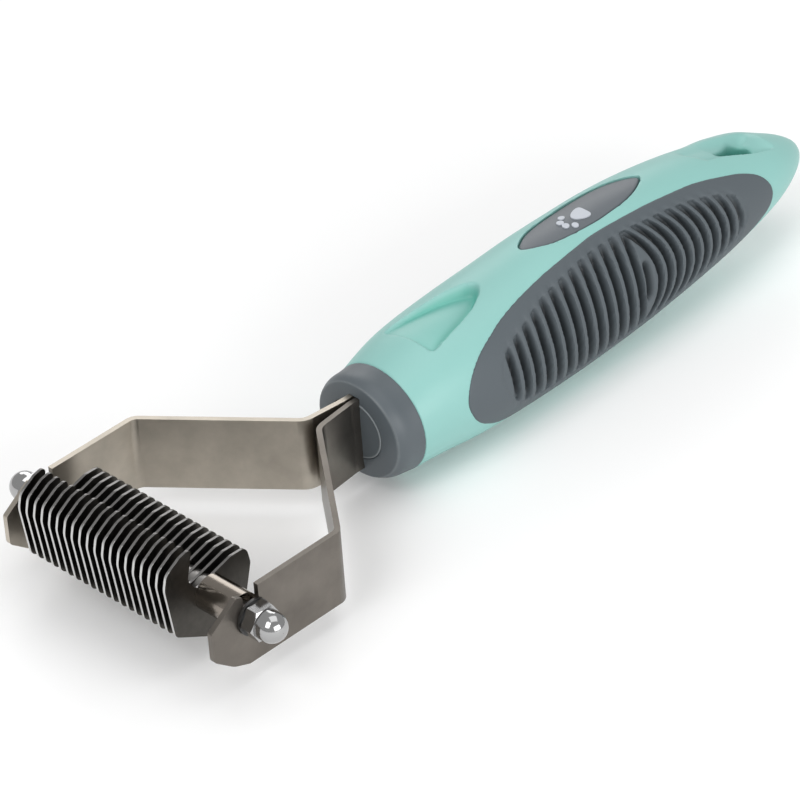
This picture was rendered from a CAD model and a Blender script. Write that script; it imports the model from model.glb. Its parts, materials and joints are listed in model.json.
import json
import math

import bpy
import numpy as np
from mathutils import Matrix, Vector


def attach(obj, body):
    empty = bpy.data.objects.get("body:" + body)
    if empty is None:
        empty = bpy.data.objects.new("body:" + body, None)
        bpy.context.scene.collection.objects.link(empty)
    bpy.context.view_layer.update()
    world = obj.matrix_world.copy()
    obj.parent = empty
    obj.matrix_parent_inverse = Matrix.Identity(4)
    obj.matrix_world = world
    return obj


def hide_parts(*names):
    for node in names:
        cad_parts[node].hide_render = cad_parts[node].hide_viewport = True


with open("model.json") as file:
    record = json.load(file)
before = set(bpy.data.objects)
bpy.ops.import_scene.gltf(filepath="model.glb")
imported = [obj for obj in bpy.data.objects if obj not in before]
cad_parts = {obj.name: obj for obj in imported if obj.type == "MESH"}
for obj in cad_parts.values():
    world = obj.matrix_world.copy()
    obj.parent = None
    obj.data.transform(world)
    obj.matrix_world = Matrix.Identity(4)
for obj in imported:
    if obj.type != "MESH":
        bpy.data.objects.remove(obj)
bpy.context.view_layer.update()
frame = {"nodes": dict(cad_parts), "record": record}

MM = 0.001
# The handle is drawn in millimetres from the collar's front face; this is that point in the row frame.
DRAWING = np.array([32.4, 0.0, 14.545])

# ---------------------------------------------------------------- camera, floor, light
AIM = Vector((18.73, -0.85, 14.545)) * MM
AZIMUTH, ELEVATION, ROLL = math.radians(137.17), math.radians(35.18), math.radians(-4.31)
CAMERA_DISTANCE = 1.0664
FOCAL_MM = 235.0

scene = bpy.context.scene
scene.view_settings.view_transform = "Standard"
back = Vector((math.sin(AZIMUTH) * math.cos(ELEVATION), -math.cos(AZIMUTH) * math.cos(ELEVATION),
               math.sin(ELEVATION)))
level = (-back).cross(Vector((0, 0, 1))).normalized()
upright = level.cross(-back)
right = level * math.cos(ROLL) + upright * math.sin(ROLL)
up = right.cross(-back)
camera_data = bpy.data.cameras.new("camera")
camera_data.lens = FOCAL_MM
camera_data.sensor_width = 36.0
camera_data.clip_start, camera_data.clip_end = 0.05, 20.0
camera = bpy.data.objects.new("camera", camera_data)
camera.matrix_world = Matrix((right, up, back)).transposed().to_4x4()
camera.location = AIM + back * CAMERA_DISTANCE
scene.collection.objects.link(camera)
scene.camera = camera


def new_mesh(name, points, faces, smooth=True):
    mesh = bpy.data.meshes.new(name)
    mesh.from_pydata([tuple(p) for p in points], [], [tuple(f) for f in faces])
    mesh.polygons.foreach_set("use_smooth", [smooth] * len(mesh.polygons))
    mesh.update()
    obj = bpy.data.objects.new(name, mesh)
    scene.collection.objects.link(obj)
    return obj


FLOOR_HALF = 3.0
floor = new_mesh("floor", [(-FLOOR_HALF, -FLOOR_HALF, 0), (FLOOR_HALF, -FLOOR_HALF, 0),
                           (FLOOR_HALF, FLOOR_HALF, 0), (-FLOOR_HALF, FLOOR_HALF, 0)],
                 [(0, 1, 2, 3)], smooth=False)


def softbox(name, place, size, watts):
    """Rectangular area light that faces the middle of the object."""
    data = bpy.data.lights.new(name, "AREA")
    data.shape = "RECTANGLE"
    data.size, data.size_y = size
    data.energy = watts
    lamp = bpy.data.objects.new(name, data)
    lamp.location = place
    lamp.rotation_euler = (AIM - Vector(place)).to_track_quat("-Z", "Y").to_euler()
    scene.collection.objects.link(lamp)


softbox("light_key", (0.75, 0.15, 0.75), (0.5, 0.7), 3.8)
softbox("light_top", (-0.2, 0.1, 1.1), (0.9, 0.9), 2.9)
softbox("light_side", (0.1, 0.95, 0.35), (0.8, 0.5), 4.6)
softbox("light_back", (-0.6, -0.8, 0.5), (0.7, 0.5), 2.4)

WORLD_STRENGTH = 0.53
world = bpy.data.worlds.new("studio")
scene.world = world
world.use_nodes = True
world.node_tree.nodes["Background"].inputs["Color"].default_value = (1, 1, 1, 1)
world.node_tree.nodes["Background"].inputs["Strength"].default_value = WORLD_STRENGTH


# ---------------------------------------------------------------- materials
class Nodes:
    """Short calls for building one material's node tree."""

    def __init__(self, name):
        self.material = bpy.data.materials.new(name)
        self.material.use_nodes = True
        self.tree = self.material.node_tree
        self.shader = self.tree.nodes["Principled BSDF"]

    def add(self, kind, **settings):
        node = self.tree.nodes.new("ShaderNode" + kind)
        for key, value in settings.items():
            if hasattr(node, key):
                setattr(node, key, value)
            else:
                node.inputs[key.replace("_", " ")].default_value = value
        return node

    def link(self, out, into):
        self.tree.links.new(out, into)

    def place(self, scale=(1, 1, 1)):
        """Object coordinates in millimetres, stretched by scale."""
        source = self.add("TexCoord")
        mapping = self.add("Mapping")
        mapping.inputs["Scale"].default_value = [1000 * s for s in scale]
        self.link(source.outputs["Object"], mapping.inputs["Vector"])
        return mapping.outputs["Vector"]

    def noise(self, where, scale, detail=3.0, rough=0.55):
        node = self.add("TexNoise", Scale=scale, Detail=detail, Roughness=rough)
        self.link(where, node.inputs["Vector"])
        return node.outputs["Fac"]

    def span(self, value, low, high):
        """Value from 0..1 mapped to low..high."""
        node = self.add("MapRange")
        node.inputs["To Min"].default_value = low
        node.inputs["To Max"].default_value = high
        self.link(value, node.inputs["Value"])
        return node.outputs["Result"]

    def mix(self, factor, one, two):
        """Colour between one and two; each argument is a number, a colour or another node's output."""
        node = self.add("Mix", data_type="RGBA")
        for socket, value in ((node.inputs[0], factor), (node.inputs[6], one), (node.inputs[7], two)):
            if isinstance(value, bpy.types.NodeSocket):
                self.link(value, socket)
            elif isinstance(value, (int, float)):
                socket.default_value = value
            else:
                socket.default_value = (*value, 1)
        return node.outputs[2]

    def bump(self, height, depth_mm):
        node = self.add("Bump", Strength=1.0, Distance=depth_mm * MM)
        self.link(height, node.inputs["Height"])
        self.link(node.outputs["Normal"], self.shader.inputs["Normal"])

    def set(self, **values):
        for key, value in values.items():
            socket = self.shader.inputs[key.replace("_", " ")]
            if isinstance(value, bpy.types.NodeSocket):
                self.link(value, socket)
            else:
                socket.default_value = value


RUBBER = (0.084, 0.101, 0.113)


def plastic(name, colour, rough, grain_mm=0.25, grain_depth=0.012, vary=0.05, specular=0.5):
    """Moulded plastic or rubber: fine grain, slow mottling, uneven gloss."""
    m = Nodes(name)
    where = m.place()
    fine = m.noise(where, 1 / grain_mm, 2.0, 0.5)
    slow = m.noise(where, 0.045, 3.0, 0.55)
    dark = [c * (1 - vary) for c in colour]
    light = [min(1, c * (1 + vary)) for c in colour]
    m.set(Base_Color=m.mix(slow, dark, light), Roughness=m.span(slow, rough - 0.04, rough + 0.06))
    m.shader.inputs["Specular IOR Level"].default_value = specular
    m.bump(fine, grain_depth)
    return m


def tinted(finish, attribute, reach, colour):
    """Adds a colour that comes in as the mesh attribute goes from 0 to 1."""
    source = finish.add("Attribute", attribute_name=attribute, attribute_type="GEOMETRY")
    plain = finish.shader.inputs["Base Color"].links[0].from_socket
    finish.set(Base_Color=finish.mix(finish.span(source.outputs["Fac"], 0, reach), plain, colour))
    return finish


def steel(name, colour, rough, streak=(0.05, 1, 1), vary=0.12, scratch=0.006):
    """Rolled steel: streaks along the strip, cloudy staining and fine scratches."""
    m = Nodes(name)
    where = m.place(streak)
    streaks = m.noise(where, 1.6, 5.0, 0.7)
    clouds = m.noise(m.place(), 0.11, 4.0, 0.6)
    both = m.mix(0.5, streaks, clouds)
    dark = [c * (1 - vary) for c in colour]
    light = [min(1, c * (1 + vary)) for c in colour]
    m.set(Base_Color=m.mix(clouds, dark, light), Metallic=1.0,
          Roughness=m.span(both, rough - 0.08, rough + 0.1))
    m.bump(streaks, scratch)
    return m


def blade_finish():
    """Ground bright edges, darkened faces; told apart by the normal across the blade."""
    m = Nodes("blade_finish")
    source = m.add("TexCoord")
    split = m.add("SeparateXYZ")
    m.link(source.outputs["Normal"], split.inputs["Vector"])
    across = m.add("Math", operation="ABSOLUTE")
    m.link(split.outputs["Y"], across.inputs[0])
    is_face = m.add("MapRange", From_Min=0.55, From_Max=0.85)
    m.link(across.outputs[0], is_face.inputs["Value"])
    face = is_face.outputs["Result"]
    clouds = m.noise(m.place(), 0.3, 4.0, 0.6)
    grind = m.noise(m.place((1, 8, 1)), 2.5, 3.0, 0.6)
    faces = m.mix(clouds, (0.06, 0.057, 0.052), (0.13, 0.122, 0.11))
    top = m.add("MapRange", From_Min=0.6, From_Max=0.9)
    m.link(split.outputs["Z"], top.inputs["Value"])
    bright = m.mix(grind, (0.5, 0.5, 0.49), (0.72, 0.72, 0.71))
    dull = m.mix(grind, (0.16, 0.155, 0.15), (0.27, 0.265, 0.26))
    edges = m.mix(top.outputs["Result"], bright, dull)
    m.set(Base_Color=m.mix(face, edges, faces), Metallic=1.0,
          Roughness=m.span(m.mix(0.5, grind, clouds), 0.22, 0.42))
    m.bump(grind, 0.004)
    return m


MATERIALS = {
    "mint_plastic": tinted(plastic("mint_finish", (0.25, 0.5, 0.465), 0.42), "cavity", 0.9,
                           (0.12, 0.43, 0.36)),
    # Grimy groove floors on the grip, rubbed edges on the collar, deeper mint in the recesses.
    "grip_rubber": tinted(plastic("grip_finish", RUBBER, 0.55, 0.18, 0.01, 0.07, 0.4), "groove", 0.9,
                          [c * 0.12 for c in RUBBER]),
    "collar_rubber": tinted(plastic("collar_finish", RUBBER, 0.45, 0.18, 0.01, 0.07, 0.5), "worn", 0.8,
                            (0.24, 0.265, 0.275)),
    "badge_plastic": plastic("badge_finish", (0.11, 0.125, 0.14), 0.42, 0.18, 0.01, 0.06, 0.5),
    "emblem_plastic": plastic("emblem_finish", (0.5, 0.53, 0.58), 0.5, 0.18, 0.01, 0.03),
    "arm_steel": steel("arm_finish", (0.46, 0.42, 0.36), 0.36, vary=0.34),
    "blade_steel": blade_finish(),
    "rod_steel": steel("rod_finish", (0.5, 0.48, 0.46), 0.3, (1, 1, 1)),
    "sleeve_steel": steel("sleeve_finish", (0.26, 0.23, 0.2), 0.16, (1, 0.05, 1), 0.1, 0.002),
    "spacer_steel": steel("spacer_finish", (0.3, 0.29, 0.28), 0.4, (1, 1, 1)),
    "washer_steel": steel("washer_finish", (0.1, 0.1, 0.1), 0.4, (1, 1, 1)),
    "nut_chrome": steel("nut_finish", (0.42, 0.42, 0.42), 0.11, (1, 1, 1), 0.03, 0.0008),
}
floor_finish = plastic("floor_finish", (0.96, 0.96, 0.96), 0.75, 1.0, 0.003, 0.004, 0.2)
floor.data.materials.append(floor_finish.material)

BLADE_ROUND, ARM_ROUND = 0.17, 0.3
ROUND_OVER_ANGLE = math.radians(50)


def soften(node, width_mm):
    """Round a steel piece's edges a little."""
    weld = node.modifiers.new("weld", "WELD")
    weld.merge_threshold = 1e-6
    bevel = node.modifiers.new("round", "BEVEL")
    bevel.width = width_mm * MM
    bevel.segments = 2
    bevel.limit_method = "ANGLE"
    bevel.angle_limit = ROUND_OVER_ANGLE


# The left arm is the duller of the two.
LEFT_ARM = steel("arm_finish_dull", (0.172, 0.156, 0.138), 0.33, vary=0.4)
for part in frame["record"]["subparts"]:
    node = frame["nodes"][part["node"]]
    finish = (LEFT_ARM if part["node"] == "left_arm" else MATERIALS[part["material_slot"]]).material
    if not node.data.materials:
        node.data.materials.append(finish)
    for index in range(len(node.data.materials)):
        node.data.materials[index] = finish
    if part["node"].startswith("blade_") and part["node"] != "blade_spacers":
        soften(node, BLADE_ROUND)
    elif part["node"].endswith("_arm"):
        soften(node, ARM_ROUND)


# ---------------------------------------------------------------- implicit shapes
# Handle stations: x, centre height, half width, half height, in drawing millimetres.
STATIONS = [
    (-134.0, 1.7, 2.0, 1.9), (-132.0, 2.1, 3.9, 3.2), (-128.0, 2.7, 6.7, 5.0),
    (-122.0, 3.0, 9.4, 7.3), (-115.0, 3.0, 11.2, 9.2), (-105.0, 2.9, 12.4, 11.9),
    (-95.0, 3.05, 13.3, 13.7), (-85.0, 3.05, 14.0, 15.0), (-75.0, 2.75, 14.4, 16.0),
    (-65.0, 2.35, 14.6, 16.4), (-55.0, 2.0, 14.8, 16.5), (-45.0, 1.6, 14.9, 16.1),
    (-35.0, 1.3, 15.0, 15.6), (-25.0, 1.05, 14.8, 14.9), (-15.0, 0.8, 13.9, 13.6),
    (-7.3, -0.35, 12.8, 12.1),
]
# Side grip outline: x along the handle, v across it in a plane tilted by PAD_TILT.
LEAF = [
    (-18.6, -1.9), (-19.1, 0.3), (-20.7, 2.9), (-23.2, 5.2), (-25.9, 6.9), (-29.6, 8.5),
    (-34.0, 10.1), (-41.3, 11.8), (-50.9, 13.3), (-61.2, 14.3), (-67.5, 14.5),
    (-79.4, 14.0), (-91.4, 12.6), (-97.2, 11.5), (-102.9, 9.9), (-108.4, 8.1),
    (-112.7, 5.8), (-114.8, 3.1), (-115.1, 0.6), (-113.6, -2.1), (-109.6, -4.5),
    (-104.0, -6.4), (-97.0, -8.0), (-86.0, -9.8), (-74.0, -11.2), (-62.0, -12.0),
    (-50.0, -12.3), (-38.0, -12.2), (-29.6, -11.3), (-24.2, -9.1), (-21.1, -6.9),
    (-19.3, -4.3),
]
# Ribbed field inside the grip, in the same coordinates.
FIELD = [
    (-28.2, 0.2), (-29.4, 2.8), (-33.0, 5.3), (-38.5, 7.4), (-45.1, 9.7), (-51.7, 11.0),
    (-58.2, 12.0), (-65.0, 12.4), (-71.3, 12.4), (-78.2, 11.8), (-85.7, 11.0), (-93.0, 9.6),
    (-100.2, 7.3), (-104.0, 5.1), (-105.6, 2.2), (-105.2, -1.2), (-101.5, -3.9),
    (-94.0, -6.0), (-84.0, -8.0), (-73.0, -9.4), (-62.0, -10.2), (-50.0, -10.5),
    (-40.0, -10.0), (-33.5, -8.3), (-30.0, -5.4), (-28.5, -2.4),
]
PAD_TILT = math.radians(18)
# The grip goes this deep, overlaps the rim of its pocket by PAD_LAP, and stays this far from the middle.
PAD_DEPTH, PAD_LAP, PAD_INNER_Y = 2.7, 0.35, 4.4
# Room between the handle and the underside of an inlaid piece.
UNDER_GAP = 0.05
# Badge: a pointed oval in the crown.
BADGE_MIDDLE = -0.9
BADGE_HALF = [(-54.5, 2.8), (-59.5, 4.1), (-66.0, 4.7), (-72.0, 4.7), (-78.0, 4.1), (-83.0, 2.5)]
BADGE = ([(-50.7, BADGE_MIDDLE)] + [(u, BADGE_MIDDLE + v) for u, v in BADGE_HALF]
         + [(-86.3, BADGE_MIDDLE)] + [(u, BADGE_MIDDLE - v) for u, v in reversed(BADGE_HALF)])
BADGE_GAP, BADGE_DEPTH, BADGE_DROP = 0.38, 1.3, 0.35
# Foot of the thumb rest's walls.
THUMB = [(-16.2, 0.0), (-15.7, -4.0), (-16.0, -6.2), (-19.0, -5.8), (-23.0, -5.1), (-27.0, -4.3),
         (-30.5, -3.3), (-33.0, -2.1), (-34.6, -1.1), (-35.3, 0.0), (-34.6, 1.1), (-33.0, 2.1),
         (-30.5, 3.3), (-27.0, 4.3), (-23.0, 5.1), (-19.4, 5.8), (-17.3, 5.9), (-16.7, 4.0)]


def natural_spline(knots, values):
    """Natural cubic spline through the knots, as a function of an array."""
    knots, values = np.array(knots, float), np.array(values, float)
    step = np.diff(knots)
    count = len(knots)
    matrix, side = np.eye(count), np.zeros(count)
    for i in range(1, count - 1):
        matrix[i, i - 1:i + 2] = step[i - 1], 2 * (step[i - 1] + step[i]), step[i]
        side[i] = 6 * ((values[i + 1] - values[i]) / step[i]
                       - (values[i] - values[i - 1]) / step[i - 1])
    bend = np.linalg.solve(matrix, side)

    def value(x):
        x = np.clip(x, knots[0], knots[-1])
        i = np.clip(np.searchsorted(knots, x) - 1, 0, count - 2)
        a, c, h = (knots[i + 1] - x) / step[i], (x - knots[i]) / step[i], step[i]
        curve = ((a ** 3 - a) * bend[i] + (c ** 3 - c) * bend[i + 1]) * h * h / 6
        return a * values[i] + c * values[i + 1] + curve

    return value


class Barrel:
    """Elliptic body through stations; calling it gives the signed distance, to first order."""

    def __init__(self, stations):
        table = np.array(stations)
        self.curves = [natural_spline(table[:, 0], table[:, k]) for k in (1, 2, 3)]

    def __call__(self, x, y, z):
        centre, wide, high = (curve(x) for curve in self.curves)
        nudge = 0.05
        d_centre, d_wide, d_high = ((curve(x + nudge) - curve(x - nudge)) / (2 * nudge)
                                    for curve in self.curves)
        side, rise = y / wide, (z - centre) / high
        rho = np.sqrt(side ** 2 + rise ** 2 + 1e-9)
        slope_x = -(side ** 2 * d_wide / wide + rise * d_centre / high
                    + rise ** 2 * d_high / high) / rho
        slope = np.sqrt(slope_x ** 2 + (side / wide / rho) ** 2 + (rise / high / rho) ** 2)
        return (rho - 1) / np.maximum(slope, 0.02)


def smooth_max(a, b, blend):
    """The larger of two fields, with a fillet about blend wide where they meet."""
    near = np.maximum(blend - np.abs(a - b), 0) / blend
    return np.maximum(a, b) + near * near * blend / 4


def smooth_step(value, low, high):
    t = np.clip((value - low) / (high - low), 0, 1)
    return t * t * (3 - 2 * t)


def closed_curve(points):
    """Catmull-Rom curve through a ring of points."""
    per_span = 8
    ring = np.array(points, float)
    before, after, beyond = np.roll(ring, 1, 0), np.roll(ring, -1, 0), np.roll(ring, -2, 0)
    out = []
    for t in np.arange(per_span) / per_span:
        out.append(0.5 * (2 * ring + (after - before) * t
                          + (2 * before - 5 * ring + 4 * after - beyond) * t ** 2
                          + (3 * ring - before - 3 * after + beyond) * t ** 3))
    return np.stack(out, 1).reshape(-1, 2)


class Outline:
    """Signed distance to a closed plane curve, negative inside, read from a fine table.

    Further out than margin it gives the value at the table's rim.
    """

    def __init__(self, points):
        step, margin = 0.25, 4.0
        ring = closed_curve(points)
        self.low = ring.min(0) - margin
        self.step = step
        counts = np.ceil((ring.max(0) + margin - self.low) / step).astype(int) + 1
        u, v = np.meshgrid(*(self.low[k] + step * np.arange(counts[k]) for k in (0, 1)), indexing="ij")
        nearest = np.full(u.shape, 1e9)
        inside = np.zeros(u.shape, bool)
        for (ax, ay), (bx, by) in zip(ring, np.roll(ring, -1, 0)):
            dx, dy = bx - ax, by - ay
            t = np.clip(((u - ax) * dx + (v - ay) * dy) / (dx * dx + dy * dy), 0, 1)
            nearest = np.minimum(nearest, (u - ax - t * dx) ** 2 + (v - ay - t * dy) ** 2)
            if dy:
                crosses = ((ay > v) != (by > v)) & (u < ax + (v - ay) * dx / dy)
                inside ^= crosses
        self.table = np.sqrt(nearest) * np.where(inside, -1, 1)

    def __call__(self, u, v):
        place = [(np.asarray(w) - self.low[k]) / self.step for k, w in enumerate((u, v))]
        cell = [np.clip(np.floor(w).astype(int), 0, self.table.shape[k] - 2)
                for k, w in enumerate(place)]
        fu, fv = (np.clip(w - c, 0, 1) for w, c in zip(place, cell))
        i, j = cell
        t = self.table
        return ((t[i, j] * (1 - fu) + t[i + 1, j] * fu) * (1 - fv)
                + (t[i, j + 1] * (1 - fu) + t[i + 1, j + 1] * fu) * fv)


def skin(field, low, high, step):
    """Quad mesh of the field's zero surface.

    Each grid cell that the surface crosses gets one vertex, which fits the planes at its crossings.
    """
    low = np.array(low, float)
    counts = [int(math.ceil((high[k] - low[k]) / step)) + 1 for k in range(3)]
    axes = [low[k] + step * np.arange(counts[k]) for k in range(3)]
    grid = field(axes[0][:, None, None], axes[1][None, :, None], axes[2][None, None, :])
    inside = grid < 0
    filled = np.zeros([n - 1 for n in counts], np.int8)
    for i in (0, 1):
        for j in (0, 1):
            for k in (0, 1):
                filled += inside[i:counts[0] - 1 + i, j:counts[1] - 1 + j, k:counts[2] - 1 + k]
    cells = np.argwhere((filled > 0) & (filled < 8))
    index = np.full(filled.shape, -1, np.int64)
    index[tuple(cells.T)] = np.arange(len(cells))
    planes, pulls = np.zeros((len(cells), 3, 3)), np.zeros((len(cells), 3))
    total, crossings = np.zeros((len(cells), 3)), np.zeros(len(cells))
    faces = []
    probe = 0.03
    for axis in range(3):
        one, two = (axis + 1) % 3, (axis + 2) % 3
        first, second = [slice(None)] * 3, [slice(None)] * 3
        first[axis], second[axis] = slice(0, -1), slice(1, None)
        spots = np.argwhere(inside[tuple(first)] != inside[tuple(second)])
        ahead = spots + np.eye(3, dtype=int)[axis]
        start, end = grid[tuple(spots.T)], grid[tuple(ahead.T)]
        place = low + step * (spots + (start / (start - end))[:, None] * np.eye(3)[axis])
        rise = [field(*(place + probe * unit).T) - field(*(place - probe * unit).T)
                for unit in np.eye(3)]
        slope = np.stack(rise, 1) / (2 * probe)
        normal = slope / np.maximum(np.linalg.norm(slope, axis=1), 1e-6)[:, None]
        quad = []
        for du, dv in ((1, 1), (0, 1), (0, 0), (1, 0)):
            cell = spots.copy()
            cell[:, one] -= du
            cell[:, two] -= dv
            quad.append(index[tuple(cell.T)])
        quad = np.stack(quad, 1)
        for corner in quad.T:
            np.add.at(planes, corner, normal[:, :, None] * normal[:, None, :])
            np.add.at(pulls, corner, normal * (normal * place).sum(1)[:, None])
            np.add.at(total, corner, place)
            np.add.at(crossings, corner, 1)
        flip = start > 0
        quad[flip] = quad[flip][:, ::-1]
        faces.append(quad)
    middle = total / crossings[:, None]
    hold = 0.08 * np.eye(3)
    miss = pulls[:, :, None] - planes @ middle[:, :, None]
    shift = np.linalg.solve(planes + hold, miss)[:, :, 0]
    centre = low + step * (cells + 0.5)
    points = np.clip(middle + shift, centre - 0.5 * step, centre + 0.5 * step)
    return points, np.concatenate(faces)


SHARP_OVER_ANGLE = math.radians(38)


def piece_from_field(name, field, low, high, step, body, slot_name, *nodes):
    """A shown piece from an implicit shape, in place of its CAD nodes.

    low, high and step give the grid that the shape is read on, in drawing millimetres.
    """
    points, faces = skin(field, low, high, step)
    obj = new_mesh(name, (points + DRAWING) * MM, faces)
    obj.data.set_sharp_from_angle(angle=SHARP_OVER_ANGLE)
    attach(obj, body)
    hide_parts(*nodes)
    obj.data.materials.append(MATERIALS[slot_name].material)
    return obj


def note(obj, name, measure):
    """Store measure(x, y, z) at each point of the mesh, for a material to read."""
    spots = np.empty(len(obj.data.vertices) * 3)
    obj.data.vertices.foreach_get("co", spots)
    x, y, z = (spots.reshape(-1, 3) / MM - DRAWING).T
    obj.data.attributes.new(name, "FLOAT", "POINT").data.foreach_set("value", measure(x, y, z))


barrel = Barrel(STATIONS)
leaf = Outline(LEAF)
field_outline = Outline(FIELD)
badge_oval = Outline(BADGE)
thumb_foot = Outline(THUMB)


def across(y, z):
    """v coordinate of the tilted grip plane; the same on both sides."""
    return np.cos(PAD_TILT) * z - np.sin(PAD_TILT) * np.abs(y)


# The right grip's upper edge sits up to this much lower than the left one's, measured along v. The drop
# comes in over DROP_FROM to DROP_TO, so the lower edge stays where it is.
RIGHT_DROP, DROP_FROM, DROP_TO = 4.6, -3.0, 6.0


def leaf_distance(x, y, z):
    """Signed distance from the grip's outline, negative inside."""
    v = across(y, z)
    v = v + RIGHT_DROP * smooth_step(v, DROP_FROM, DROP_TO) * (np.asarray(y) < 0)
    return leaf(*np.broadcast_arrays(x, v))


FRONT_X, REAR_X = -7.3, -133.95
# Hang hole: a slot along the handle that gets wider to the rear by HOLE_FLARE a millimetre.
HOLE_X, HOLE_HALF_LENGTH, HOLE_HALF_WIDTH, HOLE_FLARE = -113.2, 3.2, 1.9, 0.36
# Trough in the crown round the hang hole: its slanted front edge and how fast it sinks in, and the
# stretch where it runs out at the rear. It widens and deepens behind TAPER_X, over TAPER_LENGTH.
SCOOP_DEPTH, SCOOP_FRONT_X, SCOOP_SLANT, SCOOP_RAMP = 1.6, -100.0, 0.6, 3.5
SCOOP_FADE_X, SCOOP_REAR_X = -119.0, -124.0
TAPER_X, TAPER_LENGTH, TAPER_WIDEN = -108.0, 9.0, 0.2
SCOOP_SHARE, SCOOP_DEEPEN = 0.75, 0.09
SCOOP_LEFT, SCOOP_LEFT_WALL, SCOOP_RIGHT, SCOOP_RIGHT_FOOT = 2.2, 1.0, -6.5, -1.8
# Raised rim on the right of the hole.
RIM_RISE, RIM_INNER, RIM_OUTER = 0.5, 3.0, 7.0
# Thumb rest: depth under the crown at its front and per millimetre back, and the outward lean of its
# walls per millimetre up, up to THUMB_DEEPEST.
THUMB_FRONT, THUMB_DEPTH, THUMB_DEEPEN = -16.0, 0.55, 0.12
THUMB_LEAN, THUMB_DEEPEST = 0.45, 4.0
TANG_HALF_WIDTH, TANG_HALF_HEIGHT, TANG_REAR = 1.6, 8.55, -36.1
# A field value that leaves the shape alone.
FAR_OFF = 9.0


def scoop(x, y):
    """Depth of the trough: soft on the right, steep on the left, deeper to the rear."""
    back = TAPER_X - x
    taper = np.clip(back, 0, TAPER_LENGTH)
    front = SCOOP_FRONT_X - SCOOP_SLANT * np.maximum(y - SCOOP_RIGHT_FOOT, 0)
    along = smooth_step(front - x, 0.0, SCOOP_RAMP) * (1 - smooth_step(-x, -SCOOP_FADE_X, -SCOOP_REAR_X))
    left = SCOOP_LEFT + TAPER_WIDEN * taper
    sideways = (smooth_step(y, SCOOP_RIGHT + TAPER_WIDEN * taper, SCOOP_RIGHT_FOOT)
                * (1 - smooth_step(y, left, left + SCOOP_LEFT_WALL)))
    rim = (RIM_RISE * smooth_step(back, -2.0, 6.0) * (1 - smooth_step(back, 14.0, 23.0))
           * smooth_step(-y, RIM_INNER, RIM_OUTER))
    return SCOOP_DEPTH * (SCOOP_SHARE + SCOOP_DEEPEN * taper) * along * sideways - rim


def handle_field(x, y, z):
    body = barrel(x, y, z)
    shape = body + scoop(x, y) * (z > 0)
    shape = smooth_max(shape, x - FRONT_X, 0.5)
    shape = smooth_max(shape, REAR_X - x, 1.0)
    wide = HOLE_HALF_WIDTH + HOLE_FLARE * np.clip(HOLE_X - x, -HOLE_HALF_LENGTH, HOLE_HALF_LENGTH)
    slot = np.hypot(np.maximum(np.abs(x - HOLE_X) - HOLE_HALF_LENGTH, 0), y) - wide
    shape = smooth_max(shape, -slot, 0.8)
    over = body + THUMB_DEPTH + THUMB_DEEPEN * (THUMB_FRONT - x)
    foot = thumb_foot(*np.broadcast_arrays(x, y))
    thumb = smooth_max(foot - THUMB_LEAN * np.minimum(over, THUMB_DEEPEST), -over, 0.6)
    shape = smooth_max(shape, -np.where(z > 0, thumb, FAR_OFF), 0.3)
    oval = badge_oval(*np.broadcast_arrays(x, y)) - BADGE_GAP
    badge = np.maximum(oval, -BADGE_DEPTH - body)
    shape = smooth_max(shape, -np.where(z > 0, badge, FAR_OFF), 0.2)
    pad = np.maximum(leaf_distance(x, y, z) + PAD_LAP, -PAD_DEPTH - UNDER_GAP - body)
    shape = smooth_max(shape, -pad, 0.2)
    tang = np.maximum(np.abs(y) - TANG_HALF_WIDTH, np.abs(z) - TANG_HALF_HEIGHT)
    return np.maximum(shape, -np.maximum(tang, TANG_REAR - x))


# Where the deeper mint shows: in the thumb rest, which lies ahead of THUMB_END, most of all at its foot,
# and in the hang hole, behind HOLE_START.
THUMB_END, HOLE_START, FOOT_SHADE_WIDTH = -40, -104, 1.1


def cavity(x, y, z):
    """How enclosed each point of the handle is: the thumb rest's walls and foot, and the hang hole."""
    under = -barrel(x, y, z)
    at_foot = np.exp(-(thumb_foot(x, y) / FOOT_SHADE_WIDTH) ** 2)
    thumb = smooth_step(under, 0.1, 1.4) * (0.35 + 0.65 * at_foot) * (x > THUMB_END)
    hole = smooth_step(under, 1.6, 4.0) * (x < HOLE_START)
    return np.where(z > 0, np.maximum(thumb, hole), 0)


def badge_field(x, y, z):
    body = barrel(x, y, z)
    shape = smooth_max(body + BADGE_DROP, badge_oval(*np.broadcast_arrays(x, y)), 0.3)
    return np.maximum(shape, UNDER_GAP - BADGE_DEPTH - body)


# Grooves of the grip: two families of arcs, x = start - pitch * k + bow * (v - middle)^2.
FRONT_START, FRONT_PITCH, FRONT_COUNT, FRONT_BOW, FRONT_MIDDLE = -31.5, 3.22, 13, -0.010, 2.5
REAR_START, REAR_PITCH, REAR_COUNT, REAR_BOW, REAR_MIDDLE = -76.4, 3.02, 10, 0.034, 0.0
# One short groove between the two families, shaped like a lens.
LENS_X, LENS_BOW, LENS_MIDDLE, LENS_WIDTH = -73.0, 0.008, 1.0, 0.75
LENS_TOP, LENS_FOOT, LENS_FADE = 5.6, -4.8, 2.5
# The smooth border stands proud of the handle, the ribbed field lies a step below it. Grooves deepen from
# EDGE_GROOVE at the field's edge by up to GROOVE_DEPTH at its middle.
BORDER_PROUD, FIELD_STEP, GROOVE_DEPTH, EDGE_GROOVE = 0.25, 0.15, 1.7, 0.5


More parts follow.
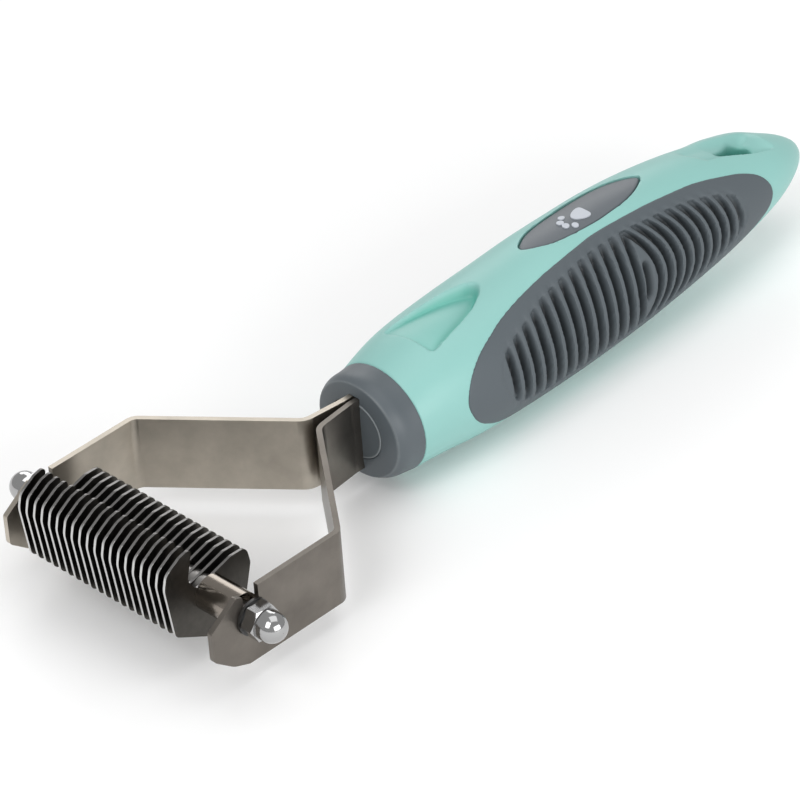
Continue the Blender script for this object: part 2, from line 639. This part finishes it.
def grooves(x, v):
    """0 on a crest to 1 in a groove."""
    front_x = x - FRONT_BOW * (v - FRONT_MIDDLE) ** 2
    rear_x = x - REAR_BOW * (v - REAR_MIDDLE) ** 2
    front = (FRONT_START - front_x) / FRONT_PITCH
    rear = (REAR_START - rear_x) / REAR_PITCH

    def wave(phase, count):
        beat = smooth_step(0.5 + 0.5 * np.cos(2 * np.pi * phase), 0.12, 0.85)
        begun = smooth_step(phase, -0.5, -0.35)
        ended = smooth_step(phase, count - 0.65, count - 0.5)
        return begun * (1 - ended) * beat

    front_last = FRONT_START - FRONT_PITCH * (FRONT_COUNT - 1)
    lens_x = x - LENS_BOW * (v - LENS_MIDDLE) ** 2
    lens = np.exp(-((lens_x - LENS_X) / LENS_WIDTH) ** 2)
    lens = lens * smooth_step(v, LENS_FOOT, LENS_FOOT + LENS_FADE)
    lens = lens * (1 - smooth_step(v, LENS_TOP - LENS_FADE, LENS_TOP))
    both = np.where(front_x > front_last - FRONT_PITCH / 2, wave(front, FRONT_COUNT), 0)
    both = np.maximum(both, np.where(rear_x < REAR_START + REAR_PITCH / 2, wave(rear, REAR_COUNT), 0))
    return np.maximum(both, lens)


def pad_field(x, y, z):
    body = barrel(x, y, z)
    v = across(y, z)
    u, v = np.broadcast_arrays(x, v)
    inner = -field_outline(u, v)
    edge = leaf_distance(x, y, z)
    relief = FIELD_STEP * smooth_step(inner, -0.15, 0.15)
    deep = GROOVE_DEPTH * smooth_step(inner, -2.0, 6.0) + EDGE_GROOVE * smooth_step(inner, 0.0, 0.7)
    relief = relief + deep * grooves(u, v)
    top = body - BORDER_PROUD + relief
    shape = smooth_max(top, edge, 0.35)
    return np.maximum(np.maximum(shape, -PAD_DEPTH - body), PAD_INNER_Y - np.abs(y))


def groove_depth(x, y, z):
    """How far down a groove each point of the grip is, for the darker rubber there."""
    v = across(y, z)
    return grooves(x, v) * smooth_step(-field_outline(x, v), 0.0, 2.5)


# Front collar: a tapered ring with a crisp front edge, and the plug that closes it round the tangs.
COLLAR = [(-7.4, -0.35, 12.8, 12.1), (-4.5, -0.2, 12.45, 11.85), (-2.2, 0.0, 12.05, 11.55),
          (-0.9, 0.1, 11.4, 10.95), (0.2, 0.1, 10.9, 10.55)]
FACE_EDGE, FACE_FALL = 11.1, 0.8
PLUG_Z, PLUG_HALF_WIDTH, PLUG_HALF_HEIGHT = 0.6, 7.15, 6.7
# The plug's seat in the collar, its rear face, and the room round it and below the collar's face.
SEAT_X, PLUG_REAR_X, PLUG_GAP, PLUG_SUNK = -0.9, -1.2, 0.12, 0.12
LIP_RISE, LIP_INSET, LIP_WIDTH = 0.14, 0.25, 0.2
ARM_GAP, ARM_HALF_HEIGHT = 1.35, 8.6
# Rubbed lines: round the collar's front edge outside WORN_INSIDE, and just inside the plug's edge.
WORN_WIDTH, WORN_INSIDE = 0.15, 9
PLUG_WORN_INSET, PLUG_WORN_WIDTH, PLUG_WORN_X = 0.2, 0.22, -0.5
collar_barrel = Barrel(COLLAR)


def collar_face(x, y, z):
    """Height over the collar's front face, which falls back towards its edge."""
    return x + FACE_FALL * (np.hypot(y, z) / FACE_EDGE) ** 4


def plug_edge(y, z):
    """Rough distance from the plug's oval, negative inside."""
    return (np.hypot(y / PLUG_HALF_WIDTH, (z - PLUG_Z) / PLUG_HALF_HEIGHT) - 1) * PLUG_HALF_HEIGHT


def collar_field(x, y, z):
    shape = smooth_max(collar_barrel(x, y, z), collar_face(x, y, z), 0.3)
    shape = np.maximum(shape, FRONT_X - x)
    seat = np.maximum(plug_edge(y, z) - PLUG_GAP, SEAT_X - x)
    shape = np.maximum(shape, -seat)
    return np.maximum(shape, -np.maximum(np.abs(y) - ARM_GAP, np.abs(z) - ARM_HALF_HEIGHT))


def plug_field(x, y, z):
    edge = plug_edge(y, z)
    lip = LIP_RISE * np.exp(-((edge + LIP_INSET) / LIP_WIDTH) ** 2)
    shape = smooth_max(edge, collar_face(x, y, z) + PLUG_SUNK - lip, 0.15)
    return np.maximum(np.maximum(shape, PLUG_REAR_X - x), ARM_GAP - np.abs(y))


def worn_collar(x, y, z):
    off_edge = collar_face(x, y, z) + collar_barrel(x, y, z)
    return np.exp(-(off_edge / WORN_WIDTH) ** 2) * (np.hypot(y, z) > WORN_INSIDE)


def worn_plug(x, y, z):
    off_line = plug_edge(y, z) + PLUG_WORN_INSET
    return np.exp(-(off_line / PLUG_WORN_WIDTH) ** 2) * (x > PLUG_WORN_X)


# ---------------------------------------------------------------- pieces
handle = piece_from_field("handle_shell", handle_field, (-135.0, -16.0, -15.5), (-6.6, 16.0, 19.7), 0.4,
                          "frame", "mint_plastic", "handle_body")
note(handle, "cavity", cavity)
piece_from_field("badge_inlay", badge_field, (-87.2, -6.6, 15.4), (-49.8, 4.8, 19.2), 0.22,
                 "frame", "badge_plastic", "badge_plate")
collar = piece_from_field("collar_ring", collar_field, (-7.7, -13.4, -13.4), (0.5, 13.4, 13.4), 0.28,
                          "frame", "collar_rubber", "front_collar")
note(collar, "worn", worn_collar)
plug = piece_from_field("collar_plug", plug_field, (-1.6, -7.7, -6.7), (0.5, 7.7, 7.9), 0.16,
                        "frame", "collar_rubber", "tang_insert")
note(plug, "worn", worn_plug)
for side, low_y, high_y in (("left", 3.5, 16.0), ("right", -16.0, -3.5)):
    grip = piece_from_field("grip_" + side + "_rubber", pad_field, (-117.0, low_y, -16.5),
                            (-17.0, high_y, 18.6), 0.32,
                            "frame", "grip_rubber", "grip_pad_" + side)
    note(grip, "groove", groove_depth)
